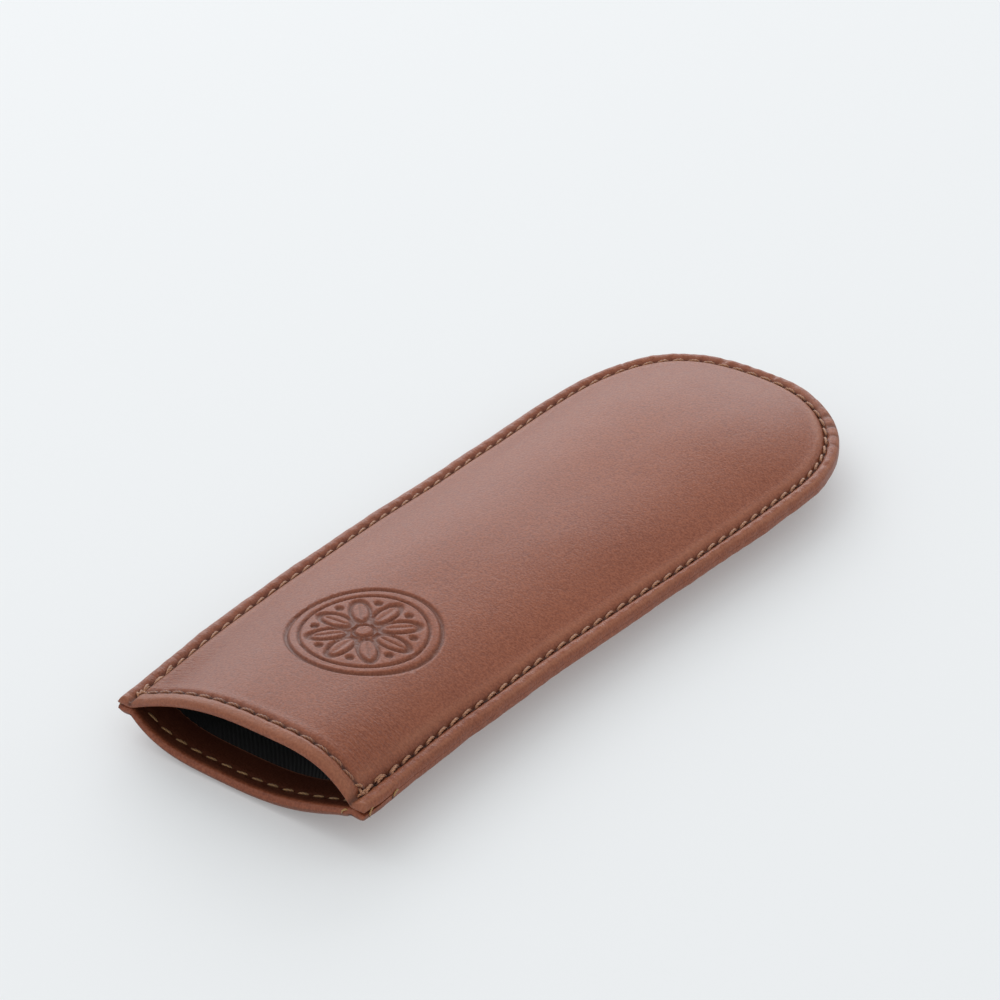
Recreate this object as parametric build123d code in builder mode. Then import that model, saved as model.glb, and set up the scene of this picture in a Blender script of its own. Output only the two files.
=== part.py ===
from build123d import *
import os
from math import cos, exp, hypot, pi, sin

os.makedirs("parts", exist_ok=True)

# A leather sleeve for one capped fountain pen, lying on its lower panel.
# X runs across it, Y from the mouth (-Y) to the closed round end (+Y), Z up.
# The origin is under the middle of the sleeve, on the surface it lies on.

# Whole sleeve
length = 162.0
mouth_y = -length / 2
seam_height = 7.5  # the plane where the two halves meet
half_rim = 1.7  # one half's thickness at the stitched rim

# Plan of the perimeter stitch line
seam_inset = 3.0  # stitch line to outer edge
mouth_seam_y = mouth_y + seam_inset
tip_y = length / 2 - seam_inset
mouth_half_width = 24.4
widest_half_width = 28.7
widest_y = 40.0
taper_power = 1.5
end_power = 2.5
side_steps = 8
end_steps = 14

# Crown of the upper panel and belly of the lower one, measured from the rim
body_crown = 5.2
lip_crown = 6.8
lip_crown_reach = 22.0  # how far the raised lip fades into the body
belly_drop = 6.2  # a little more than the room below, so the belly lies flat
lip_lift = 1.25  # the lower lip stays this much shallower, so its stitches clear the table
lip_lift_reach = 10.0
crease_fullness = 0.92  # the panels leave the rim about 0.9 inside the stitch line

# Layers of one half, as depths below its outer face
skin_depth = 0.85
turn_in_depth = 1.30  # skin and skived turn-in round the sides and end
lining_back = 1.32
pocket_depth = 1.68  # inner face of the lining, and of the unskived hem at the mouth
glue_gap = 0.02
turn_in_width = 8.5
board_clearance = 0.3
lining_inset = 1.5

# Stitches
stitch_pitch = 3.3
thread_size = 0.56
needle_hole = 0.70
stitch_slant = 0.28  # each stitch leans by this much at both ends
stitch_end_gap = 0.25
stitch_bend = 0.45
stitch_lift = 0.38  # thread centre above the leather
hole_top = 0.5
rim_leg = half_rim - 0.05
lip_leg = pocket_depth / 2 - 0.05
mouth_seam_end = 2.2  # the lip seam stops this far short of the perimeter seam

# Blind-stamped rings and rosette
stamp_y = -46.7
stamp_depth = 0.25
stamp_radius = 14.2
petal_count = 8

# Sizes used only to cut and trim
tall = 30.0
overrun = 14.0
surface_half_x = 40.0
surface_steps_x = 48
surface_steps_y = 60
nudge = 0.01


def half_width(y):
    """Distance of the stitch line from the centre line."""
    taper = (widest_y - y) / (widest_y - mouth_seam_y)
    return widest_half_width - (widest_half_width - mouth_half_width) * taper**taper_power


def fullness(x, y):
    """0 on the centre line of the sleeve and 1 on its stitch line."""
    across = abs(x) / half_width(min(y, widest_y))
    along = max(0.0, (y - widest_y) / (tip_y - widest_y))
    return across**end_power + along**end_power


def outward(x, y):
    """Unit direction straight out of the stitch line."""
    gx = fullness(x + nudge, y) - fullness(x - nudge, y)
    gy = fullness(x, y + nudge) - fullness(x, y - nudge)
    size = hypot(gx, gy)
    return gx / size, gy / size


def stitch_line_half(start_y):
    """Points of the right half of the stitch line, from start_y to the tip."""
    side = [start_y + (widest_y - start_y) * i / side_steps for i in range(side_steps)]
    points = [(half_width(y), y) for y in side]
    for i in range(end_steps + 1):
        angle = pi / 2 * i / end_steps
        x = widest_half_width * max(cos(angle), 0.0) ** (2 / end_power)
        y = widest_y + (tip_y - widest_y) * sin(angle) ** (2 / end_power)
        points.append((x, y))
    return points


def mirrored(points):
    """A right half and its mirror image, as one run from right to left."""
    return points + [(-x, y) for x, y in reversed(points[:-1])]


def edge_points(inset):
    """The sleeve's edge, moved in by inset, running past the mouth."""
    points = []
    for x, y in stitch_line_half(mouth_y - overrun):
        out_x, out_y = outward(x, y)
        points.append((x + out_x * (seam_inset - inset), y + out_y * (seam_inset - inset)))
    points[-1] = (0.0, points[-1][1])
    return mirrored(points)


def plan(inset, front, back=length):
    """The sleeve's outline inset from its edge, from Y = front to Y = back."""
    with BuildSketch(Plane.XY.offset(seam_height)) as outline:
        with BuildLine():
            edge = Spline(*edge_points(inset))
            Line(edge @ 1, edge @ 0)
        make_face()
        with Locations((0, (front + back) / 2)):
            Rectangle(2 * surface_half_x, back - front, mode=Mode.INTERSECT)
    return outline.sketch


def crown_rise(x, y):
    """Height of the upper panel above the rim, below zero outside it."""
    peak = body_crown + (lip_crown - body_crown) * exp(-(((y - mouth_y) / lip_crown_reach) ** 2))
    return peak * (1 - fullness(x, y) / crease_fullness)


def upper_z(x, y):
    return seam_height + half_rim + max(0.0, crown_rise(x, y))


def belly_z(x, y):
    """The lower panel's free shape, before the table flattens it."""
    drop = belly_drop - lip_lift * exp(-(((y - mouth_y) / lip_lift_reach) ** 2))
    return seam_height - half_rim - drop * (1 - fullness(x, y) / crease_fullness)


def lower_z(x, y):
    return min(seam_height - half_rim, max(0.0, belly_z(x, y)))


def surface(height):
    """A smooth face through height(x, y) over the whole sleeve."""
    half_y = length / 2 + overrun
    rows = []
    for i in range(surface_steps_x + 1):
        x = surface_half_x * (2 * i / surface_steps_x - 1)
        ys = [half_y * (2 * j / surface_steps_y - 1) for j in range(surface_steps_y + 1)]
        rows.append([(x, y, height(x, y)) for y in ys])
    return Face.make_surface_from_array_of_points(rows, tol=0.005, min_deg=3, max_deg=5)


crown_face = surface(lambda x, y: seam_height + half_rim + crown_rise(x, y))
belly_face = surface(belly_z)


def upper_fill(depth, outline):
    """All of the upper half that lies deeper than depth, within an outline."""
    with BuildPart() as fill:
        extrude(outline, amount=tall)
        under = crown_face.moved(Location((0, 0, -depth)))
        extrude(under, amount=2 * tall, dir=(0, 0, -1), mode=Mode.INTERSECT)
        extrude(outline, amount=half_rim - depth)
    return fill.part


def lower_fill(depth, outline):
    """All of the lower half that lies deeper than depth, within an outline."""
    with BuildPart() as fill:
        extrude(outline, amount=depth - seam_height)
        over = belly_face.moved(Location((0, 0, depth)))
        extrude(over, amount=2 * tall, dir=(0, 0, 1), mode=Mode.INTERSECT)
        extrude(outline, amount=depth - half_rim)
    return fill.part


def evenly_spaced(points, pitch):
    """Stations along a run of points, as near the pitch as whole stitches allow."""
    reach = [0.0]
    for (ax, ay), (bx, by) in zip(points, points[1:]):
        reach.append(reach[-1] + hypot(bx - ax, by - ay))
    count = round(reach[-1] / pitch)
    stations = []
    for k in range(count + 1):
        target = reach[-1] * k / count
        i = max(n for n in range(len(points) - 1) if reach[n] <= target or n == 0)
        share = (target - reach[i]) / (reach[i + 1] - reach[i])
        (ax, ay), (bx, by) = points[i], points[i + 1]
        stations.append((ax + (bx - ax) * share, ay + (by - ay) * share))
    return stations


def stitch(pitch, wire, leg):
    """One stitch: a leaning bar on the leather and a leg down at each end."""
    reach = pitch / 2 - stitch_end_gap
    corners = [
        (-reach, -stitch_slant, -leg),
        (-reach, -stitch_slant, stitch_lift),
        (reach, stitch_slant, stitch_lift),
        (reach, stitch_slant, -leg),
    ]
    with BuildPart() as one:
        with BuildLine() as route:
            FilletPolyline(*corners, radius=stitch_bend)
        with BuildSketch(Plane(origin=route.line @ 0, z_dir=route.line % 0)):
            Circle(wire / 2)
        sweep()
    return one.part


def perimeter_planes(side):
    """A plane on the rim for each perimeter stitch: side is +1 above, -1 below."""
    fine = mirrored(stitch_line_half(mouth_seam_y))
    with BuildLine() as run:
        Spline(*fine)
    smooth = [run.line @ (i / 400) for i in range(401)]
    stations = evenly_spaced([(p.X, p.Y) for p in smooth], stitch_pitch)
    z = seam_height + side * half_rim
    planes = []
    for (ax, ay), (bx, by) in zip(stations, stations[1:]):
        middle = ((ax + bx) / 2, (ay + by) / 2, z)
        planes.append(Plane(origin=middle, x_dir=(bx - ax, by - ay, 0), z_dir=(0, 0, side)))
    return planes


def mouth_planes(height, up, depth):
    """A plane for each stitch of a lip seam on one face of a lip.

    height is the lip's outer face, up is +1 where the stitch's own top points
    up, and depth shifts the face in to the pocket side.
    """
    reach = mouth_half_width - mouth_seam_end
    xs = [reach * (2 * i / 200 - 1) for i in range(201)]
    stations = evenly_spaced([(x, height(x, mouth_seam_y)) for x in xs], stitch_pitch)
    planes = []
    for (ax, az), (bx, bz) in zip(stations, stations[1:]):
        middle = ((ax + bx) / 2, mouth_seam_y, (az + bz) / 2 + depth)
        across = (bx - ax, 0, bz - az)
        planes.append(Plane(origin=middle, x_dir=across, z_dir=(-up * across[2], 0, up * across[0])))
    return planes


def stitch_row(planes, leg):
    """The same stitch on every plane, as separate solids."""
    one = stitch(stitch_pitch, thread_size, leg)
    with BuildPart() as row:
        with Locations(*planes):
            add(one, clean=False)
    return row.part


def needle_holes(planes, leg):
    """The holes that a row of stitches passes through, half way into the seam."""
    reach = stitch_pitch / 2 - stitch_end_gap
    with BuildPart() as holes_made:
        with Locations(*planes):
            with Locations((-reach, -stitch_slant, hole_top), (reach, stitch_slant, hole_top)):
                Cylinder(
                    needle_hole / 2,
                    hole_top + leg + 0.1,
                    align=(Align.CENTER, Align.CENTER, Align.MAX),
                )
    return holes_made.part


# Seams: which face each row of stitches lies on, and how deep its legs reach
seams = {
    "perimeter_needle_thread": (perimeter_planes(1), rim_leg),
    "perimeter_bobbin_thread": (perimeter_planes(-1), rim_leg),
    "upper_mouth_needle_thread": (mouth_planes(upper_z, 1, 0.0), lip_leg),
    "upper_mouth_bobbin_thread": (mouth_planes(upper_z, -1, -pocket_depth), lip_leg),
    "lower_mouth_needle_thread": (mouth_planes(lower_z, -1, 0.0), lip_leg),
    "lower_mouth_bobbin_thread": (mouth_planes(lower_z, 1, pocket_depth), lip_leg),
}
holes = {name: needle_holes(planes, leg) for name, (planes, leg) in seams.items()}

for name, (planes, leg) in seams.items():
    thread = stitch_row(planes, leg)
    thread.label = name
    export_step(thread, f"parts/{name}.step")
    print(name, "stitches", len(planes))

whole = plan(0, mouth_y)
oversize = plan(-2, mouth_y - 2)
inside_turn_in = plan(turn_in_width, mouth_y + turn_in_width)
behind_hem = plan(-2, mouth_y + turn_in_width)
board_outline = plan(turn_in_width + board_clearance, mouth_y + turn_in_width + board_clearance)
lining_outline = plan(lining_inset, mouth_y + turn_in_width + glue_gap)

# Fills of each half, by depth and outline, from which its layers are cut
fills = {
    "whole": (0, whole),
    "stamped": (stamp_depth, oversize),
    "inside_turn_in": (skin_depth, inside_turn_in),
    "behind_hem": (turn_in_depth, behind_hem),
    "pocket": (pocket_depth, oversize),
    "board": (skin_depth + glue_gap, board_outline),
    "under_board": (turn_in_depth - glue_gap, oversize),
    "lining": (lining_back, lining_outline),
}
upper = {name: upper_fill(depth, outline) for name, (depth, outline) in fills.items()}
lower = {name: lower_fill(depth, outline) for name, (depth, outline) in fills.items()}

# Stamp: two plain rings round a rosette of round petals, pressed into the leather
with BuildPart() as stamp_block:
    with BuildSketch(Plane.XY.offset(seam_height)):
        with Locations((0, stamp_y)):
            Circle(stamp_radius)
            Circle(stamp_radius - 0.9, mode=Mode.SUBTRACT)
            Circle(stamp_radius - 2.6)
            Circle(stamp_radius - 3.2, mode=Mode.SUBTRACT)
            with PolarLocations(5.6, petal_count):
                Ellipse(3.6, 1.5)
            Circle(1.4)
    extrude(amount=tall)
    add(upper["stamped"], mode=Mode.SUBTRACT)

# Outer panels: skin, the same leather turned in round the edge, and a hem at the mouth
with BuildPart() as upper_cover:
    add(upper["whole"])
    add(upper["inside_turn_in"], mode=Mode.SUBTRACT)
    add(upper["behind_hem"], mode=Mode.SUBTRACT)
    add(upper["pocket"], mode=Mode.SUBTRACT)
    add(stamp_block.part, mode=Mode.SUBTRACT)
    add(holes["perimeter_needle_thread"], mode=Mode.SUBTRACT)
    add(holes["upper_mouth_needle_thread"], mode=Mode.SUBTRACT)
    add(holes["upper_mouth_bobbin_thread"], mode=Mode.SUBTRACT)
upper_cover.part.label = "upper_cover"
export_step(upper_cover.part, "parts/upper_cover.step")

with BuildPart() as lower_cover:
    add(lower["whole"])
    add(lower["inside_turn_in"], mode=Mode.SUBTRACT)
    add(lower["behind_hem"], mode=Mode.SUBTRACT)
    add(lower["pocket"], mode=Mode.SUBTRACT)
    add(holes["perimeter_bobbin_thread"], mode=Mode.SUBTRACT)
    add(holes["lower_mouth_needle_thread"], mode=Mode.SUBTRACT)
    add(holes["lower_mouth_bobbin_thread"], mode=Mode.SUBTRACT)
lower_cover.part.label = "lower_cover"
export_step(lower_cover.part, "parts/lower_cover.step")

# Boards that keep the panels crowned, inside the turned-in edge
with BuildPart() as upper_core:
    add(upper["board"])
    add(upper["under_board"], mode=Mode.SUBTRACT)
upper_core.part.label = "upper_core"
export_step(upper_core.part, "parts/upper_core.step")

with BuildPart() as lower_core:
    add(lower["board"])
    add(lower["under_board"], mode=Mode.SUBTRACT)
lower_core.part.label = "lower_core"
export_step(lower_core.part, "parts/lower_core.step")

# Cloth linings, from the hem's inner edge to the closed end
with BuildPart() as upper_lining:
    add(upper["lining"])
    add(upper["pocket"], mode=Mode.SUBTRACT)
    add(holes["perimeter_needle_thread"], mode=Mode.SUBTRACT)
upper_lining.part.label = "upper_lining"
export_step(upper_lining.part, "parts/upper_lining.step")

with BuildPart() as lower_lining:
    add(lower["lining"])
    add(lower["pocket"], mode=Mode.SUBTRACT)
    add(holes["perimeter_bobbin_thread"], mode=Mode.SUBTRACT)
lower_lining.part.label = "lower_lining"
export_step(lower_lining.part, "parts/lower_lining.step")
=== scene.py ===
from math import atan2, cos, exp, floor, hypot, pi, radians, sin, sqrt

import bmesh
import bpy
from mathutils import Matrix, Vector, noise


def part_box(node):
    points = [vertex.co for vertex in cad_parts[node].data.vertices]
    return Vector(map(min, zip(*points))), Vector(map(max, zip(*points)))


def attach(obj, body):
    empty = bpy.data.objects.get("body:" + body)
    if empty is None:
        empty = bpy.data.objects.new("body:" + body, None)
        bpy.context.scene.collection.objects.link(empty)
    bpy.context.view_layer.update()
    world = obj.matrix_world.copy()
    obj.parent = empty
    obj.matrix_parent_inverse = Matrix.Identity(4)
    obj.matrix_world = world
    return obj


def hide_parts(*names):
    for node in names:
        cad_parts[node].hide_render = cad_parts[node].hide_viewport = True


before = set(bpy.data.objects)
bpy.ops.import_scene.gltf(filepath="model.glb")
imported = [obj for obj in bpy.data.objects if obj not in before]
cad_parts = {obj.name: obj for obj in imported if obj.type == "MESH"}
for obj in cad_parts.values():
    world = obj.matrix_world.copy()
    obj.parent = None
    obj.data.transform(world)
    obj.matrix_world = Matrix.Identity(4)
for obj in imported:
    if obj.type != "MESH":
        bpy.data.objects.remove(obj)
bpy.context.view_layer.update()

# A leather sleeve for one fountain pen: X across it, Y from the open mouth to the
# closed round end, Z up. Lengths are metres, and MM writes a size in millimetres.
MM = 0.001
TINY = 1e-12

# ---------------------------------------------------------------- sizes from the frame
upper_low, upper_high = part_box("upper_cover")
lower_low, lower_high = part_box("lower_cover")

mouth_y = upper_low.y
end_y = upper_high.y
seam_height = (upper_low.z + lower_high.z) / 2
belly_floor = lower_low.z

# ---------------------------------------------------------------- shape of the sleeve
half_rim = 1.7 * MM
seam_inset = 3.0 * MM
mouth_seam_y = mouth_y + seam_inset
tip_y = end_y - seam_inset
mouth_half_width = 24.4 * MM
widest_half_width = upper_high.x - seam_inset
widest_y = 40.0 * MM
taper_power = 1.5
end_power = 2.5
spine_share = 0.45

body_crown = 5.2 * MM
lip_crown = 6.8 * MM
lip_crown_reach = 22.0 * MM
belly_drop = 6.2 * MM
lip_lift = 0.95 * MM
lip_lift_reach = 10.0 * MM
crease_fullness = 0.95
crease_softness = 0.25 * MM
gape_reach = 30.0 * MM
gape_lean = {1: 0.12, -1: -0.15}
shoulder_power = 1.2

# Layers of one half, as depths below its outer face
turn_in_depth = 1.30 * MM
skin_depth = 0.85 * MM
hem_depth = 1.68 * MM
turn_in_width = 8.5 * MM
board_depth = 0.95 * MM
board_thickness = 0.30 * MM
lining_depth = 1.33 * MM
lining_thickness = 0.34 * MM
lining_inset = 1.5 * MM
rim_radius = 1.05 * MM
lip_radius = 0.83 * MM

# Stitches: each rises to its top and sinks into a hole at both ends
stitch_pitch = 3.3 * MM
thread_radius = 0.28 * MM
stitch_slant = 0.24 * MM
stitch_rise = 0.20 * MM
stitch_sink = 0.55 * MM

# Stamp: two rings round a hub with eight petals, and a bead between each two petals
stamp_x = 0.9 * MM
stamp_y = -46.7 * MM
stamp_radius = 14.2 * MM
stamp_depth = 0.42 * MM
outer_ring, outer_line = 13.7 * MM, 0.32 * MM
inner_ring, inner_line = 11.5 * MM, 0.20 * MM
hub_ring, hub_line = 1.9 * MM, 0.28 * MM
petal_sector = pi / 4
petal_middle = 6.3 * MM
petal_half_length, petal_half_width = 3.6 * MM, 1.75 * MM
petal_line, vein_line = 0.24 * MM, 0.10 * MM
bead_ring = 9.0 * MM
bead_core, bead_edge = 0.55 * MM, 0.95 * MM


def clamp(x, low=0.0, high=1.0):
    return max(low, min(high, x))


def smooth_step(x, low, high):
    t = clamp((x - low) / (high - low))
    return t * t * (3 - 2 * t)


def bell(x, width):
    """1 at 0, falling to about a third at the width."""
    return exp(-((x / width) ** 2))


def unevenness(a, b, seed):
    """Smooth noise of about -1 to 1. A length comes divided by its grain, and a seed keeps fields apart."""
    return noise.noise(Vector((a, b, seed)))


# ---------------------------------------------------------------- plan and height of the sleeve
def half_width(y):
    taper = (widest_y - y) / (widest_y - mouth_seam_y)
    return widest_half_width - (widest_half_width - mouth_half_width) * max(taper, 0) ** taper_power


def fullness(x, y):
    """0 on the centre line and 1 on the stitch line."""
    across = abs(x) / half_width(min(y, widest_y))
    along = max(0.0, (y - widest_y) / (tip_y - widest_y))
    return across**end_power + along**end_power


def trace_seam():
    """Right half of the stitch line from the mouth to the tip, as (x, y, outward x, outward y, run)."""
    rows = []
    steps = 240
    reach = MM / 10
    for i in range(steps):
        y = mouth_y + (widest_y - mouth_y) * i / steps
        slope = (half_width(y + reach) - half_width(y - reach)) / (2 * reach)
        size = hypot(1, slope)
        rows.append((half_width(y), y, size, 0.0))
    for i in range(steps + 1):
        angle = pi / 2 * i / steps
        c, s = max(cos(angle), 0.0), sin(angle)
        x = widest_half_width * c ** (2 / end_power)
        y = widest_y + (tip_y - widest_y) * s ** (2 / end_power)
        nx = c ** (2 - 2 / end_power) / widest_half_width
        ny = s ** (2 - 2 / end_power) / (tip_y - widest_y)
        size = hypot(nx, ny)
        rows.append((x, y, nx / size, ny / size))
    run = 0.0
    trace = []
    for i, (x, y, nx, ny) in enumerate(rows):
        if i:
            run += hypot(x - rows[i - 1][0], y - rows[i - 1][1])
        trace.append((x, y, nx, ny, run))
    return trace


SEAM = trace_seam()
HALF_RUN = SEAM[-1][4]


def seam_at(run):
    """Point of the stitch line after a run from the right side of the mouth, with its way out."""
    mirror = run > HALF_RUN
    target = clamp(2 * HALF_RUN - run if mirror else run, 0.0, HALF_RUN)
    low, high = 0, len(SEAM) - 1
    while high - low > 1:
        middle = (low + high) // 2
        if SEAM[middle][4] <= target:
            low = middle
        else:
            high = middle
    a, b = SEAM[low], SEAM[high]
    t = (target - a[4]) / max(b[4] - a[4], TINY)
    x, y, nx, ny = (a[k] + (b[k] - a[k]) * t for k in range(4))
    return (-x if mirror else x), y, (-nx if mirror else nx), ny


def edge_distance(x, y):
    """About how far a place lies outside the stitch line, negative inside it.

    The slope is kept from falling under 1, because it vanishes on the centre line.
    """
    step = MM / 20
    value = fullness(x, y)
    gx = (fullness(x + step, y) - value) / step
    gy = (fullness(x, y + step) - value) / step
    return (value - 1) / max(hypot(gx, gy), 1.0)


def soft_rise(height):
    """max(height, 0) with the crease rounded off."""
    return (height + sqrt(height * height + crease_softness**2) - crease_softness) / 2


def panel_shape(x, y, lean):
    """1 on the middle of a panel and 0 at its crease.

    Near the mouth the gape leans to one side and its right shoulder is fuller.
    """
    near = bell(y - mouth_y, gape_reach)
    across = x / half_width(min(y, widest_y))
    across -= lean * near * (1 - min(across * across, 1.0))
    power = end_power + shoulder_power * near * smooth_step(lean * across, 0.0, 0.05)
    along = max(0.0, (y - widest_y) / (tip_y - widest_y))
    crease = crease_fullness + (1 - crease_fullness) * near
    return 1 - (abs(across) ** power + along**end_power) / crease


def crown_rise(x, y):
    peak = body_crown + (lip_crown - body_crown) * bell(y - mouth_y, lip_crown_reach)
    return soft_rise(peak * panel_shape(x, y, gape_lean[1]))


def belly_fall(x, y):
    drop = belly_drop - lip_lift * bell(y - mouth_y, lip_lift_reach)
    fall = soft_rise(drop * panel_shape(x, y, gape_lean[-1]))
    room = seam_height - half_rim - belly_floor
    return room - soft_rise(room - fall)


def face_z(side, x, y, depth=0.0):
    """Height of the upper (+1) or lower (-1) panel's face, at a depth into the leather."""
    rise = crown_rise(x, y) if side > 0 else belly_fall(x, y)
    return seam_height + side * (half_rim + rise - depth)


# ---------------------------------------------------------------- how the soft sleeve strays from its plan
# The sleeve has been used and lies a little bent and twisted. Stations run from the mouth to
# the end, and each holds how far the stitch line there moves sideways and up, in millimetres.
# The rim waves a little as well. The lift is nothing below belly_top and whole at lift_full.
SWAY_Y = [-81, -50, -20, 10, 40, 60, 81]
RIGHT_SWAY = [0.5, -1.1, -1.3, 0.1, 1.5, 2.0, 0.0]
LEFT_SWAY = [0.4, -0.9, -0.3, 0.4, 1.4, 1.4, 0.0]
RIGHT_LIFT = [1.0, 0.9, 0.5, 0.4, 0.8, 0.9, 1.5]
LEFT_LIFT = [-0.2, -0.4, -0.5, -1.3, -1.1, -0.3, 1.5]
rim_wave, rim_wave_grain = 0.25 * MM, 17 * MM
belly_top, lift_full = 0.3 * MM, 5.0 * MM


def along_sleeve(values, y):
    """A smooth curve through the stations' values, in metres."""
    y = clamp(y / MM, SWAY_Y[0], SWAY_Y[-1])
    i = max(k for k in range(len(SWAY_Y) - 1) if SWAY_Y[k] <= y)
    t = (y - SWAY_Y[i]) / (SWAY_Y[i + 1] - SWAY_Y[i])
    p0, p1 = values[max(i - 1, 0)], values[i]
    p2, p3 = values[i + 1], values[min(i + 2, len(values) - 1)]
    curve = 2 * p1 + (p2 - p0) * t + (2 * p0 - 5 * p1 + 4 * p2 - p3) * t * t
    return 0.5 * MM * (curve + (3 * p1 - p0 - 3 * p2 + p3) * t**3)


def stray(p):
    """Moves a point as the bent sleeve moves, but leaves the belly on the table."""
    x, y, z = p
    right = clamp(0.5 + 0.5 * x / half_width(min(y, widest_y)))
    sway = along_sleeve(LEFT_SWAY, y) * (1 - right) + along_sleeve(RIGHT_SWAY, y) * right
    lift = along_sleeve(LEFT_LIFT, y) * (1 - right) + along_sleeve(RIGHT_LIFT, y) * right
    wave = rim_wave * unevenness(right * 2, y / rim_wave_grain, 3.1) * abs(2 * right - 1)
    return Vector((x + sway + wave, y, z + lift * smooth_step(z, belly_top, lift_full)))


# ---------------------------------------------------------------- relief of the stitched leather
# Each feature is its height or strength times a bell curve, which takes how far the place is
# from the feature's middle and the feature's half width. The middles are measured outwards from
# the stitch line, so a feature at d + 1.5 * MM lies 1.5 mm inside it.
perimeter_count = round((2 * (HALF_RUN - seam_inset)) / stitch_pitch)
perimeter_pitch = 2 * (HALF_RUN - seam_inset) / perimeter_count
lip_reach = mouth_half_width - 1.3 * MM


def lip_stations(side):
    """X of each needle hole across a lip, evenly spaced over the curved leather."""
    steps = 200
    xs = [lip_reach * (2 * i / steps - 1) for i in range(steps + 1)]
    run = [0.0]
    for a, b in zip(xs, xs[1:]):
        rise = face_z(side, b, mouth_seam_y) - face_z(side, a, mouth_seam_y)
        run.append(run[-1] + hypot(b - a, rise))
    count = round(run[-1] / stitch_pitch)
    stations = []
    for k in range(count + 1):
        target = run[-1] * k / count
        i = max(n for n in range(steps) if run[n] <= target + TINY)
        share = (target - run[i]) / (run[i + 1] - run[i])
        stations.append(xs[i] + (xs[i + 1] - xs[i]) * share)
    return stations


LIP_HOLES = {1: lip_stations(1), -1: lip_stations(-1)}


def hole_run(k):
    return seam_inset + perimeter_pitch * k


def hole_phase(run):
    """A run as a count of stitches, and how far it is along the seam from the nearest hole."""
    phase = (run - seam_inset) / perimeter_pitch
    return phase, abs(phase - round(phase)) * perimeter_pitch


def from_lip_hole(side, x):
    return min(abs(x - hole) for hole in LIP_HOLES[side])


def pinch(run, d):
    """1 in the creases that run out from the holes where the margin is gathered round the right shoulder."""
    phase, from_hole = hole_phase(run)
    strength = 0.65 + 0.9 * unevenness(round(phase) * 1.7, 3.0, 9.0)
    shoulder = bell(run - HALF_RUN + 25 * MM, 9 * MM)
    return clamp(strength) * shoulder * bell(from_hole, 0.6 * MM) * smooth_step(d, 0, MM)


def perimeter_relief(run, d):
    """Height of the leather beside the perimeter seam: d is the distance outside the stitch line."""
    phase, from_hole = hole_phase(run)
    furrow = -0.50 * MM * bell(d, 0.62 * MM)
    dimple = -0.40 * MM * bell(d, 0.55 * MM) * bell(from_hole, 0.5 * MM)
    swell = 0.14 * MM * bell(d - 1.35 * MM, 0.8 * MM)
    pucker = 0.08 * MM * cos(2 * pi * phase) * bell(d - 1.1 * MM, 0.9 * MM)
    panel = 0.16 * MM * bell(d + 1.5 * MM, 0.9 * MM)
    gathers = -0.60 * MM * pinch(run, d)
    round_end = 1 - smooth_step(abs(run - HALF_RUN), 28 * MM, 46 * MM)
    crease = unevenness(run / (1.5 * MM) + d / (2.5 * MM), 0.0, 5.0)
    pleat = (0.05 + 0.11 * round_end) * MM * crease * smooth_step(d, 0.3 * MM, 1.5 * MM)
    fold = smooth_step(unevenness(run / (2.3 * MM), 7.0, 5.0), 0.28, 0.5)
    cut_in = -0.50 * MM * round_end * fold * bell(d - 1.5 * MM, 1.0 * MM)
    return furrow + dimple + swell + pucker + panel + pleat + cut_in + gathers


def lip_relief(side, x, y):
    """Height of the leather beside a lip seam."""
    d = mouth_seam_y - y
    inside = smooth_step(lip_reach + 1.5 * MM - abs(x), 0.0, 2.5 * MM)
    furrow = -0.34 * MM * bell(d, 0.55 * MM)
    dimple = -0.36 * MM * bell(d, 0.55 * MM) * bell(from_lip_hole(side, x), 0.5 * MM)
    roll = 0.16 * MM * bell(d - 1.35 * MM, 0.85 * MM)
    panel = 0.10 * MM * bell(d + 1.4 * MM, 0.9 * MM)
    return (furrow + dimple + roll + panel) * inside


def groove(distance, half, edge=0.28 * MM):
    """1 in the bottom of a pressed line and 0 beside it."""
    return 1 - smooth_step(abs(distance), half - edge / 2, half + edge)


def stamp_pattern(x, y):
    """How deep the blind stamp presses, from 0 to 1: two rings round an eight-petalled rosette."""
    u, v = x - stamp_x, y - stamp_y
    r = hypot(u, v)
    if r > stamp_radius + MM:
        return 0.0
    outer = groove(r - outer_ring, outer_line)
    inner = groove(r - inner_ring, inner_line)
    hub = groove(r - hub_ring, hub_line)
    angle = (atan2(v, u) + petal_sector / 2) % petal_sector - petal_sector / 2
    along, across = r * cos(angle) - petal_middle, r * sin(angle)
    from_petal = (hypot(along / petal_half_length, across / petal_half_width) - 1) * petal_half_width
    outline = groove(from_petal, petal_line) if r > hub_ring + 0.5 * MM else 0.0
    vein = 0.6 * groove(across, vein_line) * smooth_step(3.0 * MM - abs(along), 0.0, 0.8 * MM)
    between = atan2(v, u) % petal_sector - petal_sector / 2
    from_bead = hypot(r * cos(between) - bead_ring, r * sin(between))
    bead = 1 - smooth_step(from_bead, bead_core, bead_edge)
    return max(outer, inner, hub, outline, vein, bead)


def body_relief(x, y):
    """Slow unevenness of the hand-turned panel."""
    slow = 0.16 * MM * unevenness(x / (17 * MM), y / (24 * MM), 1.7)
    quick = 0.035 * MM * unevenness(x / (6 * MM), y / (8 * MM), 4.2)
    return (slow + quick) * smooth_step(-edge_distance(x, y), 1.5 * MM, 7 * MM)


# ---------------------------------------------------------------- mesh helpers
SHARP_ANGLE = radians(50)


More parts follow.
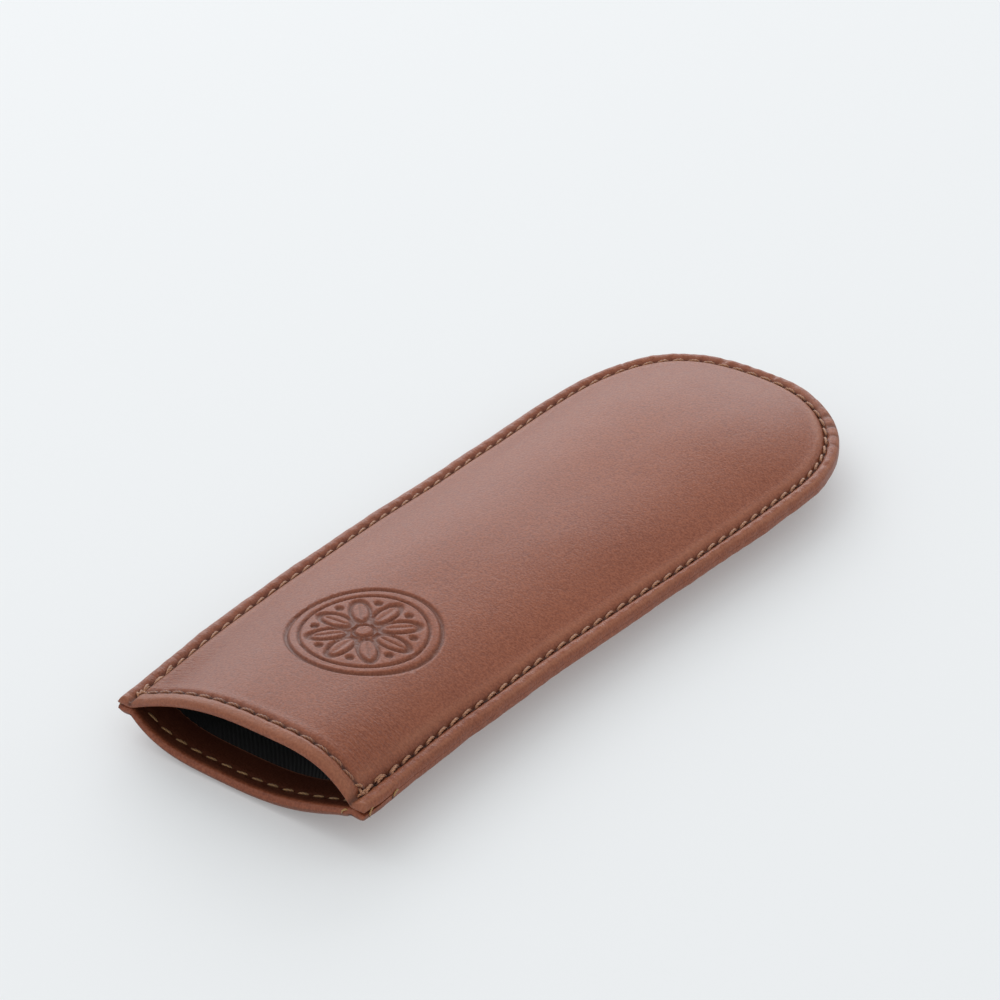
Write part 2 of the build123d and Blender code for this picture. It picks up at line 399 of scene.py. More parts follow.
def finished(name, bm, material, node):
    """Turns a bmesh into a smooth piece that rides on the sleeve and stands for its CAD node."""
    mesh = bpy.data.meshes.new(name)
    bm.to_mesh(mesh)
    bm.free()
    mesh.materials.append(material)
    mesh.polygons.foreach_set("use_smooth", [True] * len(mesh.polygons))
    piece = bpy.data.objects.new(name, mesh)
    bpy.context.scene.collection.objects.link(piece)
    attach(piece, "root")
    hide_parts(node)
    return piece


# A sheet's grid, in millimetres. A rolled sheet has its columns close together over the rounding
# of its lip and then 0.3 apart past the lip seam, and its rows close together over the rim.
LIP_COLUMNS = [0, 0.03, 0.11, 0.25, 0.43, 0.63, 0.85, 1.1]
LIP_COLUMNS += [1.4 + 0.3 * i for i in range(26)]
ROLLED_ROWS = [0, 0.05, 0.18, 0.4, 0.68, 1.0, 1.35, 1.6, 1.9, 2.2, 2.45, 2.7, 2.9, 3.1, 3.3]
ROLLED_ROWS += [3.55, 3.85, 4.2, 4.6, 5.1, 5.8, 6.8, 8.0]
PLAIN_ROWS = [0, 0.8, 1.8, 3.0, 4.4, 6.0]


def spread_runs(front, step, roll):
    """Runs along the stitch line at which a sheet has a column, mirrored about the tip."""
    runs = [front + k * MM for k in (LIP_COLUMNS if roll else [0])]
    while runs[-1] + 1.5 * step < HALF_RUN:
        runs.append(runs[-1] + step)
    last = (HALF_RUN + runs[-1]) / 2
    half = runs + ([last] if last - runs[-1] > 0.4 * step else [])
    return half + [HALF_RUN] + [2 * HALF_RUN - r for r in reversed(half)]


def margin_scale(run):
    """How the width of the margin outside the stitches varies: it was turned in by hand."""
    wander = 0.10 * unevenness(run / (9 * MM), 1.0, 0.0)
    ripple = 0.04 * unevenness(run / (2.5 * MM), 2.0, 0.0)
    narrow = 0.20 * bell(run - 92 * MM, 16 * MM)
    return 0.93 + wander + ripple - narrow


def column_place(run, inset_distance):
    """Plan place at a distance in from the outer edge on one column."""
    x, y, nx, ny = seam_at(run)
    out = seam_inset - inset_distance
    if out > 0:
        out *= margin_scale(run)
    return x + nx * out, y + ny * out


def spine_y(y):
    """Where a column that starts at y meets the centre line: in the round end they fan out."""
    return min(y, widest_y) + spine_share * max(0.0, y - widest_y)


def sheet(front, inset, step, rim_rows, inner_rows, roll=False):
    """A flat sheet in the sleeve's plan, as a bmesh with three layers of values.

    The grid's columns follow the stitch line from one side of the mouth round to the other,
    and run in from the edge to the spine. Layer "run" is a place along the stitch line,
    "inset" its distance in from the edge, and "inner" 1 on the sheet's second face.
    """
    runs = spread_runs(front - mouth_y, step, roll)
    rows = [inset + r * MM for r in rim_rows]
    count = len(rows) + inner_rows
    bm = bmesh.new()
    run_layer = bm.verts.layers.float.new("run")
    inset_layer = bm.verts.layers.float.new("inset")
    inner_layer = bm.verts.layers.float.new("inner")
    bmesh.ops.create_grid(bm, x_segments=len(runs) - 1, y_segments=count - 1, size=0.5)
    for v in bm.verts:
        i = round((v.co.x + 0.5) * (len(runs) - 1))
        j = round((v.co.y + 0.5) * (count - 1))
        v[run_layer] = runs[i]
        v[inset_layer] = rows[min(j, len(rows) - 1)]
        x, y = column_place(runs[i], v[inset_layer])
        t = max(j - len(rows) + 1, 0) / inner_rows
        foot = spine_y(seam_at(runs[i])[1])
        v[inset_layer] += t * abs(x)
        v.co = (x * (1 - t), y + (foot - y) * t, 0.0)
    bmesh.ops.remove_doubles(bm, verts=bm.verts, dist=1e-6)
    return bm


def double(bm):
    """Adds the sheet's second face and the walls between the two."""
    made = bmesh.ops.extrude_face_region(bm, geom=list(bm.faces), use_keep_orig=True)
    inner_layer = bm.verts.layers.float["inner"]
    for g in made["geom"]:
        if isinstance(g, bmesh.types.BMVert):
            g[inner_layer] = 1.0


def refine(bm, wanted, cuts, across_only=False):
    """Splits the edges of the outer face whose middle lies in a wanted place."""
    inner_layer = bm.verts.layers.float["inner"]
    edges = []
    for e in bm.edges:
        a, b = e.verts
        if a[inner_layer] > 0.5 or b[inner_layer] > 0.5:
            continue
        if across_only and abs(a.co.y - b.co.y) > abs(a.co.x - b.co.x):
            continue
        if wanted((a.co + b.co) / 2):
            edges.append(e)
    bmesh.ops.subdivide_edges(bm, edges=edges, cuts=cuts, use_grid_fill=True)


def shape(bm, height):
    """Gives every point its height, turns the faces outward and lets the sheet stray."""
    run_layer = bm.verts.layers.float["run"]
    inset_layer = bm.verts.layers.float["inset"]
    inner_layer = bm.verts.layers.float["inner"]
    for v in bm.verts:
        z = height(v.co.x, v.co.y, v[run_layer], v[inset_layer], v[inner_layer] > 0.5)
        v.co = stray((v.co.x, v.co.y, z))
    bmesh.ops.recalc_face_normals(bm, faces=bm.faces)
    for e in bm.edges:
        e.smooth = e.calc_face_angle(0.0) < SHARP_ANGLE


def rounding(distance, radius):
    """How far a rounded edge falls away at a distance in from the edge."""
    if distance >= radius:
        return 0.0
    return radius - sqrt(max(radius**2 - (radius - distance) ** 2, 0.0))


# ---------------------------------------------------------------- materials
# Real sizes of what each surface shows. Two are too fine to show, and are drawn coarser: the
# hide's pores lie about 0.15 mm apart, and a filament of the thread is about 0.02 mm thick.
dye_cloud = 29.4 * MM
dye_mottle = 1.111 * MM
dye_speckle = 0.4167 * MM
pore_pitch = 0.4348 * MM
pull_length, pull_width = 2.381 * MM, 0.5882 * MM
rib_pitch = 0.7075 * MM
board_fibre = 1.111 * MM
thread_fuzz = 0.6667 * MM


def linear(code):
    """An sRGB hex colour as linear RGBA."""
    channels = [int(code[i : i + 2], 16) / 255 for i in (1, 3, 5)]
    return [c / 12.92 if c <= 0.04045 else ((c + 0.055) / 1.055) ** 2.4 for c in channels] + [1.0]


def fill(tree, node, inputs):
    """Fills a node's inputs, each with a value or with another node's output to link."""
    for key, value in inputs.items():
        if isinstance(value, bpy.types.NodeSocket):
            tree.links.new(value, node.inputs[key])
        else:
            node.inputs[key].default_value = value


def add_node(tree, kind, inputs=None, settings=None, stops=None):
    """Adds a node with its inputs, its settings and, on a ramp, its (position, hex colour) stops."""
    node = tree.nodes.new(kind)
    for key, value in (settings or {}).items():
        setattr(node, key, value)
    fill(tree, node, inputs or {})
    if stops:
        elements = node.color_ramp.elements
        while len(elements) < len(stops):
            elements.new(0.5)
        for element, (position, code) in zip(elements, stops):
            element.position = position
            element.color = linear(code)
    return node


def new_material(name):
    """A material with its node tree, its shader, and the place of each point on the object."""
    material = bpy.data.materials.new(name)
    material.use_nodes = True
    tree = material.node_tree
    place = add_node(tree, "ShaderNodeTexCoord").outputs["Object"]
    return material, tree, tree.nodes["Principled BSDF"], place


def aniline_leather():
    """Smooth aniline-dyed cowhide, lightly waxed: the dye sits unevenly, rubbed edges go paler and
    pressed places darker, painted shade darkens holes, creases, the inside and the near half,
    fine pores and pull grain show, and a soft wax sheen lies on top."""
    material, tree, shader, place = new_material("aniline_cowhide_red_brown")
    cloud = add_node(tree, "ShaderNodeTexNoise", {
        "Vector": place, "Scale": 1 / dye_cloud, "Detail": 4.0, "Roughness": 0.5}).outputs["Fac"]
    mottle = add_node(tree, "ShaderNodeTexNoise", {
        "Vector": place, "Scale": 1 / dye_mottle, "Detail": 4.0, "Roughness": 0.6}).outputs["Fac"]
    speckle = add_node(tree, "ShaderNodeTexNoise", {
        "Vector": place, "Scale": 1 / dye_speckle, "Detail": 2.0, "Roughness": 0.6}).outputs["Fac"]
    pores = add_node(tree, "ShaderNodeTexVoronoi", {
        "Vector": place, "Scale": 1 / pore_pitch}).outputs["Distance"]
    stretched = add_node(tree, "ShaderNodeMapping", {
        "Vector": place, "Scale": (1 / pull_length, 1 / pull_width, 1 / pull_length)}).outputs["Vector"]
    wrinkle = add_node(tree, "ShaderNodeTexNoise", {
        "Vector": stretched, "Scale": 1.0, "Detail": 3.0, "Roughness": 0.6}).outputs["Fac"]
    wear, press_and_shade, pull = (
        add_node(tree, "ShaderNodeAttribute", settings={"attribute_name": name}).outputs["Fac"]
        for name in ("wear", "press_and_shade", "pull"))

    dye = add_node(tree, "ShaderNodeValToRGB", {"Fac": cloud},
                   stops=[(0.30, "#7B3F2B"), (0.52, "#82452F"), (0.74, "#8B4C34")]).outputs["Color"]
    fine = add_node(tree, "ShaderNodeValToRGB", {"Fac": mottle},
                    stops=[(0.34, "#6D3521"), (0.66, "#99583D")]).outputs["Color"]
    grit = add_node(tree, "ShaderNodeValToRGB", {"Fac": speckle},
                    stops=[(0.36, "#602D1A"), (0.64, "#AA694B")]).outputs["Color"]
    # This dark colour marks leather pressed by the stamp and seams, and also paints shade in needle holes,
    # seam furrows, creases, the slit, the inside and the near half
    rubbed, pressed_and_shaded = linear("#B07B5F"), linear("#2E140D")
    # A colour mix has its factor at socket 0, its colours at 6 and 7, and its result at output 2
    for factor, layer in ((0.26, fine), (0.30, grit), (wear, rubbed), (press_and_shade, pressed_and_shaded)):
        dye = add_node(tree, "ShaderNodeMix", {0: factor, 6: dye, 7: layer}, {"data_type": "RGBA"}).outputs[2]

    grain = add_node(tree, "ShaderNodeMath", {0: pores, 1: 0.8, 2: speckle},
                     {"operation": "MULTIPLY_ADD"}).outputs["Value"]
    surface = add_node(tree, "ShaderNodeBump", {
        "Height": grain, "Strength": 0.30, "Distance": 0.12 * MM}).outputs["Normal"]
    surface = add_node(tree, "ShaderNodeBump", {
        "Height": mottle, "Strength": 0.20, "Distance": 0.25 * MM, "Normal": surface}).outputs["Normal"]
    surface = add_node(tree, "ShaderNodeBump", {
        "Height": wrinkle, "Strength": pull, "Distance": 0.35 * MM, "Normal": surface}).outputs["Normal"]
    waxed = add_node(tree, "ShaderNodeMapRange", {
        "Value": mottle, "To Min": 0.33, "To Max": 0.47}).outputs["Result"]
    fill(tree, shader, {"Base Color": dye, "Roughness": waxed, "Normal": surface,
                        "IOR": 1.47, "Specular IOR Level": 0.27})
    return material


def lining_cloth():
    """Black polyester twill: fine diagonal ribs, matt with a faint sheen.

    At scale 1 a wave texture has a rib each 2 pi / 10 of X + Y, and across them that is less by root 2.
    """
    material, tree, shader, place = new_material("ribbed_lining_cloth_black")
    scale = 2 * pi / (10 * sqrt(2) * rib_pitch)
    ribs = add_node(tree, "ShaderNodeTexWave", {"Vector": place, "Scale": scale, "Distortion": 0.2},
                    {"bands_direction": "DIAGONAL", "wave_profile": "SIN"}).outputs["Fac"]
    # Painted shade in the rib valleys and painted light on the rib tops of the one black yarn
    colour = add_node(tree, "ShaderNodeValToRGB", {"Fac": ribs},
                      stops=[(0.0, "#040404"), (1.0, "#0F0F10")]).outputs["Color"]
    bump = add_node(tree, "ShaderNodeBump", {
        "Height": ribs, "Strength": 0.6, "Distance": 0.2 * MM}).outputs["Normal"]
    fill(tree, shader, {"Base Color": colour, "Normal": bump, "Roughness": 0.8, "Sheen Weight": 0.1,
                        "Specular IOR Level": 0.3})
    return material


def board_material():
    """Bonded leather board: flat brown fibre sheet, hidden between cover and lining."""
    material, tree, shader, place = new_material("bonded_leather_board_brown")
    fibre = add_node(tree, "ShaderNodeTexNoise", {
        "Vector": place, "Scale": 1 / board_fibre, "Detail": 6.0, "Roughness": 0.7}).outputs["Fac"]
    colour = add_node(tree, "ShaderNodeValToRGB", {"Fac": fibre},
                      stops=[(0.3, "#4A3524"), (0.7, "#6E543B")]).outputs["Color"]
    bump = add_node(tree, "ShaderNodeBump", {
        "Height": fibre, "Strength": 0.3, "Distance": 0.2 * MM}).outputs["Normal"]
    fill(tree, shader, {"Base Color": colour, "Normal": bump, "Roughness": 0.85})
    return material


def thread_material(name, dark, body, light):
    """Bonded three-ply polyester thread, with a painted highlight on top of each ply and painted shade where
    the plies meet.
    """
    material, tree, shader, place = new_material(name)
    fuzz = add_node(tree, "ShaderNodeTexNoise", {
        "Vector": place, "Scale": 1 / thread_fuzz, "Detail": 2.0}).outputs["Fac"]
    ply = add_node(tree, "ShaderNodeAttribute", settings={"attribute_name": "ply"}).outputs["Fac"]
    height = add_node(tree, "ShaderNodeMath", {0: fuzz, 1: 0.35, 2: ply},
                      {"operation": "MULTIPLY_ADD"}).outputs["Value"]
    # The ramp's dark end is painted shade and its light end painted highlight, set by the ply attribute
    colour = add_node(tree, "ShaderNodeValToRGB", {"Fac": height},
                      stops=[(0.20, dark), (0.55, body), (1.0, light)]).outputs["Color"]
    bump = add_node(tree, "ShaderNodeBump", {
        "Height": height, "Strength": 0.5, "Distance": 0.1 * MM}).outputs["Normal"]
    fill(tree, shader, {"Base Color": colour, "Normal": bump, "Roughness": 0.45, "Sheen Weight": 0.2})
    return material


LEATHER = aniline_leather()
LINING = lining_cloth()
BOARD = board_material()
NEEDLE_THREAD = thread_material("bonded_thread_red_brown", "#27110A", "#6B3A25", "#AC7650")
BOBBIN_THREAD = thread_material("bonded_thread_golden_tan", "#2B170A", "#74502B", "#AD8347")


# ---------------------------------------------------------------- covers
def slit(run, inset):
    """How far each half's turned edge stands off the other, widest at the mouth's corners."""
    right = 0.42 * MM * exp(-run / (4.5 * MM))
    left = 0.30 * MM * exp(-(2 * HALF_RUN - run) / (2.5 * MM))
    return 0.004 * MM + (right + left) * (1 - smooth_step(inset, 0.0, 2.6 * MM))


def inner_z(side, x, y, run, inset):
    """Height of a cover's inner face, which stands thick at the turned-in edge and the mouth's hem."""
    from_lip = y - mouth_y
    hem = 1 - smooth_step(from_lip, turn_in_width - 0.15 * MM, turn_in_width + 0.15 * MM)
    doubled = max(hem, 1 - smooth_step(inset, 1.3 * MM, 1.55 * MM))
    skived = smooth_step(-edge_distance(x, y), 5.2 * MM, 5.8 * MM) * (1 - hem)
    depth = turn_in_depth + (hem_depth - turn_in_depth) * doubled + (skin_depth - turn_in_depth) * skived
    depth -= rounding(from_lip, lip_radius) + 0.16 * MM * bell(from_lip - seam_inset, 0.5 * MM)
    z = face_z(side, x, y) - side * depth
    gap = slit(run, inset) + rounding(inset, 0.02 * MM)
    return max(z, seam_height + gap) if side > 0 else min(z, seam_height - gap)


def outer_z(side, x, y, run, inset):
    """Height of a cover's outer face, with its rounded edges, seam relief and stamp."""
    d = edge_distance(x, y)
    from_lip = y - mouth_y
    relief = body_relief(x, y)
    if d > -4 * MM:
        relief += perimeter_relief(run, d)
    if from_lip < 8 * MM:
        relief += lip_relief(side, x, y)
    if side > 0:
        relief -= stamp_depth * stamp_pattern(x, y)
    relief *= smooth_step(inset, 0.0, 0.9 * MM) * smooth_step(from_lip, 0.0, 0.7 * MM)
    rim_fall = rounding(inset, rim_radius)
    fall = rim_fall + rounding(from_lip, lip_radius) * (1 - rim_fall / rim_radius)
    z = face_z(side, x, y) + side * (relief - fall)
    gap = slit(run, inset) + 0.10 * MM
    if side > 0:
        return max(z, seam_height + gap)
    return max(min(z, seam_height - gap), belly_floor)


def rubbed_pale(x, y, run, inset, d):
    """How far the leather is rubbed pale along the rim and the lip and beside the seam."""
    patch = 0.5 + 0.5 * unevenness(x / (5 * MM), y / (9 * MM), 8.8)
    streak = 0.5 + 0.5 * unevenness(d / (0.35 * MM), run / (6 * MM), 2.2)
    rim = bell(inset - 0.6 * MM, 0.35 * MM) * (0.15 + 0.7 * patch * streak)
    margin = 0.40 * bell(d - 0.9 * MM, 0.5 * MM) * patch * streak
    lip = 0.25 * bell(mouth_seam_y - y - 2.0 * MM, 1.2 * MM)
    beside = 0.30 * bell(d + 1.6 * MM, 0.8 * MM) * patch
    return clamp(max(rim, margin, lip, beside))


def pressed_and_painted_shade(side, x, y, run, inset, d):
    """How far the leather is darkened: pressed by the stamp and the seams, and painted shade in the needle
    holes, seam furrows, gathers and slit, over the near half, and on the lower cover at the mouth.
    """
    in_lip = smooth_step(lip_reach + MM - abs(x), 0.0, MM)
    from_lip_seam = y - mouth_seam_y
    marks_and_painted_shade = [
        # Painted shade in the needle holes and in the seam furrows under the stitches, where the seams also
        # press the leather darker
        bell(d, 0.42 * MM) * bell(hole_phase(run)[1], 0.55 * MM),
        0.62 * bell(d, 0.45 * MM),
        0.62 * bell(from_lip_seam, 0.42 * MM) * in_lip,
        bell(from_lip_seam, 0.4 * MM) * bell(from_lip_hole(side, x), 0.5 * MM) * in_lip,
        0.40 * stamp_pattern(x, y) if side > 0 else 0.0,
        # Painted shade on the rim's edge where it turns into the slit between the halves
        0.08 * (1 - smooth_step(inset, 0.1 * MM, 0.6 * MM)),
        # Painted shade in the creases of the gathers
        0.70 * pinch(run, d),
    ]
    # Painted shade over the near half of both covers, and deeper on the lower cover at the mouth, where less
    # light reaches
    painted_shade_near_mouth = 0.11 * bell(y - mouth_y, 48 * MM)
    if side < 0:
        painted_shade_near_mouth += 0.26 * (1 - smooth_step(y - mouth_y, 2 * MM, 8 * MM))
    return clamp(max(marks_and_painted_shade) + painted_shade_near_mouth)


def pulled(run, d):
    """How far pull creases show: most at the corners of the mouth, then along the margin."""
    corner = bell(run - 9 * MM, 10 * MM) + bell(2 * HALF_RUN - run - 9 * MM, 10 * MM)
    return clamp(0.05 + corner * bell(d + 4 * MM, 6 * MM) + 0.2 * bell(d - 1.5 * MM, 1.5 * MM))


def paint_inside(x, y, inset):
    """Wear and painted shade of the inner face: a pale raw edge on the hem, and painted shade deeper in."""
    raw_edge = bell(y - mouth_y - turn_in_width, 0.3 * MM)
    past_edges = smooth_step(y - mouth_y, 0.5 * MM, 1.5 * MM) * smooth_step(inset, 0.1 * MM, 0.6 * MM)
    # The second value is painted shade on the inner face, past the rim and the lip
    return 0.9 * raw_edge, 0.08 + 0.72 * (1 - raw_edge) * past_edges


def paint_cover(bm, side):
    """Writes where the leather is rubbed pale, where it is pressed dark or carries painted shade, and where
    it wrinkles.
    """
    run_layer = bm.verts.layers.float["run"]
    inset_layer = bm.verts.layers.float["inset"]
    inner_layer = bm.verts.layers.float["inner"]
    wear_layer = bm.verts.layers.float.new("wear")
    press_and_shade_layer = bm.verts.layers.float.new("press_and_shade")
    pull_layer = bm.verts.layers.float.new("pull")
    for v in bm.verts:
        x, y, run, inset = v.co.x, v.co.y, v[run_layer], v[inset_layer]
        if v[inner_layer] > 0.5:
            v[wear_layer], v[press_and_shade_layer] = paint_inside(x, y, inset)
            continue
        d = edge_distance(x, y)
        v[wear_layer] = rubbed_pale(x, y, run, inset, d)
        v[press_and_shade_layer] = pressed_and_painted_shade(side, x, y, run, inset, d)
        v[pull_layer] = pulled(run, d)


def make_cover(name, side, node):
    """A cover, with extra columns across the lip seam and, on the upper one, a finer grid under the stamp."""
    bm = sheet(mouth_y, 0.0, 0.60 * MM, ROLLED_ROWS, 20, roll=True)
    double(bm)
    refine(bm, lambda p: p.y < mouth_seam_y + 2.5 * MM and abs(p.x) < lip_reach - 3 * MM, 2, across_only=True)
    if side > 0:
        refine(bm, lambda p: hypot(p.x - stamp_x, p.y - stamp_y) < stamp_radius + 0.6 * MM, 2)
    paint_cover(bm, side)
    shape(bm, lambda x, y, run, inset, inner: (inner_z if inner else outer_z)(side, x, y, run, inset))
    return finished(name, bm, LEATHER, node)


make_cover("upper_leather_panel", 1, "upper_cover")
make_cover("lower_leather_panel", -1, "lower_cover")


def make_layer(name, side, front, inset, depth, thickness, material, node):
    """A thin inner layer that follows its panel from one Y to the closed end."""
    bm = sheet(front, inset, 1.5 * MM, PLAIN_ROWS, 12)
    double(bm)
    shape(bm, lambda x, y, run, inset, inner: face_z(side, x, y, depth + (thickness if inner else 0.0)))
    return finished(name, bm, material, node)


for side, half in ((1, "upper"), (-1, "lower")):
    make_layer(f"{half}_board", side, mouth_y + turn_in_width + 0.3 * MM, turn_in_width - 1.2 * MM,
               board_depth, board_thickness, BOARD, f"{half}_core")
    lining = make_layer(f"{half}_lining_cloth", side, mouth_y + turn_in_width - 0.3 * MM, lining_inset,
                        lining_depth, lining_thickness, LINING, f"{half}_lining")


# ---------------------------------------------------------------- thread
# A stitch is a twisted prism of three plies: its corners are by turns a ply's ridge and the
# valley between two. Radii are shares of the thread's, and tones are 0 dark to 1 light: painted
# highlight on the ridges and painted shade in the valleys.
STITCH_ROWS = 14
STITCH_SIDES = 6
PLY_TURN = radians(38)
RIDGE_RADIUS, VALLEY_RADIUS = 1.06, 0.84
RIDGE_PAINTED_HIGHLIGHT, VALLEY_PAINTED_SHADE = 0.95, 0.45
END_THINNING = 0.35
STITCH_LENGTH = perimeter_pitch - 0.15 * MM
BACK_STITCHES = 3

# Lip seams: both rows carry painted shade, and the bobbin row is thinner
LIP_SINK = 0.30 * MM
LIP_LEAN, LIP_LEAN_GRAIN = radians(7), 1.111 * MM
BOBBIN_SWELL = 0.78
NEEDLE_ROW_PAINTED_SHADE, BOBBIN_ROW_PAINTED_SHADE = 0.72, 0.62

# Short threads of the tangle at a corner: turn in degrees, then the place in millimetres from
# where the two seams cross
KNOT_THREADS = [(20, -0.9, 0.1), (78, 0.1, 0.3), (135, -0.3, -0.1), (50, 0.2, -0.4)]
KNOT_LENGTH, KNOT_SWELL, KNOT_SINK = 1.9 * MM, 0.92, 0.22 * MM

# Cut ends in the slit: run from the mouth's right corner (left if negative), distance out from
# the edge, turn and rise in degrees, and length. Distances are millimetres.
TAILS = [(8.0, 0.12, 6, 6, 2.0), (1.7, 0.10, 10, 50, 1.9), (-1.0, 0.15, -8, 12, 1.6)]
TAIL_SWELL = 0.6
TAIL_UP = (0.3, -0.3, 1.0)


def stitch_template():
    """A plain prism along Z, cut into rows, from which every stitch is bent."""
    bm = bmesh.new()
    bmesh.ops.create_cone(bm, cap_ends=True, segments=STITCH_SIDES, radius1=1.0, radius2=1.0, depth=1.0)
    walls = [e for e in bm.edges if abs(e.verts[0].co.z - e.verts[1].co.z) > 0.5]
    bmesh.ops.subdivide_edges(bm, edges=walls, cuts=STITCH_ROWS - 1)
    mesh = bpy.data.meshes.new("stitch_template")
    bm.to_mesh(mesh)
    bm.free()
    return mesh


def add_stitch(bm, template, ply_light_and_shade_layer, place, length, swell, painted_shade_factor):
    """One twisted stitch: it comes up out of one hole, lies on the leather and goes down the next."""
    first = len(bm.verts)
    bm.from_mesh(template)
    bm.verts.ensure_lookup_table()
    side_angle = 2 * pi / STITCH_SIDES
    for v in bm.verts[first:]:
        t = v.co.z + 0.5
        from_middle = abs(2 * t - 1)
        corner = floor(atan2(v.co.y, v.co.x) / side_angle)
        ridge = corner % 2
        angle = side_angle * corner + PLY_TURN * t * STITCH_ROWS
        r = thread_radius * swell * (RIDGE_RADIUS if ridge else VALLEY_RADIUS)
        r *= 1 - END_THINNING * from_middle**4
        arch = 1 - from_middle**3.2
        z = -stitch_sink + (stitch_sink + stitch_rise) * arch + r * sin(angle)
        # Painted highlight on each ply's ridge and painted shade in the valleys, turning to painted shade
        # towards the ends where the stitch sinks into its holes
        v[ply_light_and_shade_layer] = painted_shade_factor * (RIDGE_PAINTED_HIGHLIGHT if ridge else VALLEY_PAINTED_SHADE) * smooth_step(arch, 0.15, 0.8)
        v.co = place @ Vector(((t - 0.5) * length, (2 * t - 1) * stitch_slant + r * cos(angle), z))


def thread_row(name, places, material, node, painted_shade_factor=1.0):
    """A row of stitches as one piece: each place is a placement, a length and a thickness factor.

    A tone under 1 darkens the whole row with painted shade.
    """
    template = stitch_template()
    bm = bmesh.new()
    ply_light_and_shade_layer = bm.verts.layers.float.new("ply")
    for place, length, swell in places:
        add_stitch(bm, template, ply_light_and_shade_layer, place, length, swell, painted_shade_factor)
    bpy.data.meshes.remove(template)
    bmesh.ops.recalc_face_normals(bm, faces=bm.faces)
    for v in bm.verts:
        v.co = stray(v.co)
    finished(name, bm, material, node)


def basis(origin, along, up):
    """A placement whose X follows the seam and whose Z leaves the leather."""
    x = Vector(along).normalized()
    z = (Vector(up) - x * Vector(up).dot(x)).normalized()
    y = z.cross(x)
    matrix = Matrix((x, y, z)).transposed().to_4x4()
    matrix.translation = origin
    return matrix


def perimeter_places(side):
    """The stitches of the perimeter seam, which sink a little more on the left than on the right."""
    places = []
    for k in range(perimeter_count):
        a, b = seam_at(hole_run(k)), seam_at(hole_run(k + 1))
        middle = ((a[0] + b[0]) / 2, (a[1] + b[1]) / 2)
        sunk = (0.36 - 0.08 * middle[0] / widest_half_width) * MM
        z = face_z(side, *middle) - side * sunk
        place = basis((*middle, z), (b[0] - a[0], b[1] - a[1], 0), (0, 0, side))
        places.append((place, STITCH_LENGTH, 1.0))
        if min(k, perimeter_count - 1 - k) < BACK_STITCHES:
            # The seam is run back over itself at each corner of the mouth
            aside = (0.30 if k % 2 else -0.28) * MM
            again = Matrix.Rotation(radians(-9 if k % 2 else 7), 4, "Z")
            shift = Matrix.Translation((-0.3 * MM, aside, 0.16 * MM))
            places.append((place @ shift @ again, 0.92 * STITCH_LENGTH, 0.95))
    return places


def knot_places(side):
    """The tangle of thread where the perimeter seam and a lip seam meet at each corner."""
    places = []
    for corner in (1, -1):
        for turn, dx, dy in KNOT_THREADS:
            x = corner * (mouth_half_width + dx * MM)
            y = mouth_seam_y + dy * MM
            angle = radians(turn if corner > 0 else 180 - turn)
            z = face_z(side, x, y) - side * KNOT_SINK
            place = basis((x, y, z), (cos(angle), sin(angle), 0), (0, 0, side))
            places.append((place, KNOT_LENGTH, KNOT_SWELL))
    return places


def tail_places():
    """Cut ends of the bobbin thread that stick out of the slit beside the mouth's corners."""
    places = []
    for run, out, turn, rise, length in TAILS:
        x, y = column_place(run * MM if run > 0 else 2 * HALF_RUN + run * MM, -out * MM)
        heading = (sin(radians(turn)), cos(radians(turn)), sin(radians(rise)))
        places.append((basis((x, y, seam_height), heading, TAIL_UP), length * MM, TAIL_SWELL))
    lower_lip = (22.9 * MM, mouth_y + 0.1 * MM, seam_height - 0.9 * MM)
    places.append((basis(lower_lip, (1.0, 0.2, 0.5), TAIL_UP), 1.6 * MM, TAIL_SWELL))
    return places


def lip_places(side, depth, up):
    """The stitches across a lip, on its outer face or, at a depth, on the inside of its hem."""
    places = []
    holes = LIP_HOLES[side]
    for a, b in zip(holes, holes[1:]):
        ends = [Vector((x, mouth_seam_y, face_z(side, x, mouth_seam_y, depth))) for x in (a, b)]
        along = ends[1] - ends[0]
        normal = Vector((-along.z, 0, along.x)) * up
        origin = (ends[0] + ends[1]) / 2 - normal.normalized() * LIP_SINK
        lean = LIP_LEAN * unevenness(a / LIP_LEAN_GRAIN, depth / (0.2 * MM), side)
        place = basis(origin, along, normal) @ Matrix.Rotation(lean, 4, "Z")
        places.append((place, along.length, BOBBIN_SWELL if depth else 1.0))
    return places


thread_row("perimeter_stitches_top", perimeter_places(1) + knot_places(1), NEEDLE_THREAD,
           "perimeter_needle_thread")
thread_row("perimeter_stitches_under", perimeter_places(-1) + knot_places(-1) + tail_places(), BOBBIN_THREAD,
           "perimeter_bobbin_thread")
thread_row("upper_lip_stitches_outside", lip_places(1, 0.0, 1), NEEDLE_THREAD,
           "upper_mouth_needle_thread", painted_shade_factor=NEEDLE_ROW_PAINTED_SHADE)
thread_row("upper_lip_stitches_inside", lip_places(1, hem_depth, -1), BOBBIN_THREAD,
           "upper_mouth_bobbin_thread", painted_shade_factor=BOBBIN_ROW_PAINTED_SHADE)
thread_row("lower_lip_stitches_outside", lip_places(-1, 0.0, -1), NEEDLE_THREAD,
           "lower_mouth_needle_thread", painted_shade_factor=NEEDLE_ROW_PAINTED_SHADE)
thread_row("lower_lip_stitches_inside", lip_places(-1, hem_depth, 1), BOBBIN_THREAD,
           "lower_mouth_bobbin_thread", painted_shade_factor=BOBBIN_ROW_PAINTED_SHADE)


# ---------------------------------------------------------------- floor, light and camera
def table_acrylic():
    """Matt white acrylic sheet that glows a little by its own emission, painted light that keeps shadows soft
    and pale.
    """
    material = bpy.data.materials.new("matt_white_acrylic")
    material.use_nodes = True
    tree = material.node_tree
    fill(tree, tree.nodes["Principled BSDF"], {
        "Base Color": linear("#D1D2D3"), "Roughness": 0.9, "Specular IOR Level": 0.1,
        "Emission Color": linear("#F7F9FA"), "Emission Strength": 0.20})
    return material


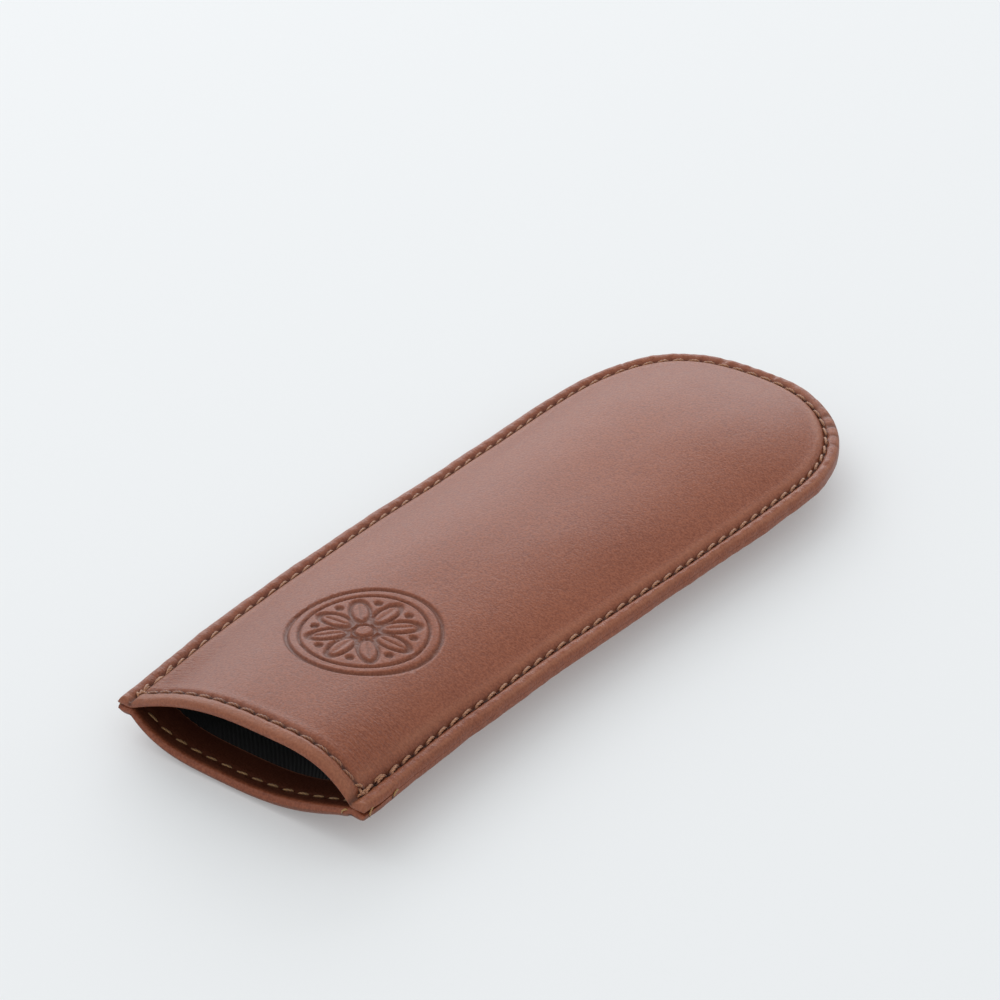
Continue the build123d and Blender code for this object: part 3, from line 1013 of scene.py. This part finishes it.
def make_floor():
    """A wide table top, a hair below the belly."""
    bm = bmesh.new()
    bmesh.ops.create_grid(bm, x_segments=1, y_segments=1, size=3.0)
    bmesh.ops.translate(bm, verts=bm.verts, vec=(0, 0, -0.05 * MM))
    mesh = bpy.data.meshes.new("floor")
    bm.to_mesh(mesh)
    bm.free()
    mesh.materials.append(table_acrylic())
    floor_object = bpy.data.objects.new("floor", mesh)
    bpy.context.scene.collection.objects.link(floor_object)


def area_light(name, place, target, size, power, colour):
    data = bpy.data.lights.new(name, "AREA")
    data.shape = "RECTANGLE"
    data.size, data.size_y = size
    data.energy = power
    data.color = linear(colour)[:3]
    light = bpy.data.objects.new(name, data)
    light.location = place
    light.rotation_euler = (Vector(target) - Vector(place)).to_track_quat("-Z", "Y").to_euler()
    bpy.context.scene.collection.objects.link(light)


def make_lights():
    world = bpy.data.worlds.new("studio")
    world.use_nodes = True
    background = world.node_tree.nodes["Background"]
    background.inputs["Color"].default_value = linear("#F6F9FA")
    background.inputs["Strength"].default_value = 0.90
    bpy.context.scene.world = world
    area_light("window_softbox", (-1.56, 1.82, 0.92), (0, 0, 0.01), (2.3, 1.28), 22.5, "#F8F8FC")
    area_light("overhead_softbox", (-0.62, 0.0, 0.86), (0, 0, 0), (0.9, 0.9), 1.7, "#FFFFFF")


def make_camera():
    """Looks down past the mouth's right corner, from a little over half a metre."""
    azimuth, elevation, distance = radians(36.8), radians(31.5), 0.539
    target = Vector((-0.0160, 0.0138, 0.0056))
    forward = Vector((-sin(azimuth) * cos(elevation), cos(azimuth) * cos(elevation), -sin(elevation)))
    data = bpy.data.cameras.new("camera")
    data.sensor_width = 36.0
    data.lens = 100.8
    data.clip_start = 0.01
    camera = bpy.data.objects.new("camera", data)
    camera.location = target - forward * distance
    camera.rotation_euler = forward.to_track_quat("-Z", "Y").to_euler()
    bpy.context.scene.collection.objects.link(camera)
    bpy.context.scene.camera = camera


make_floor()
make_lights()
make_camera()
bpy.context.scene.view_settings.view_transform = "Standard"
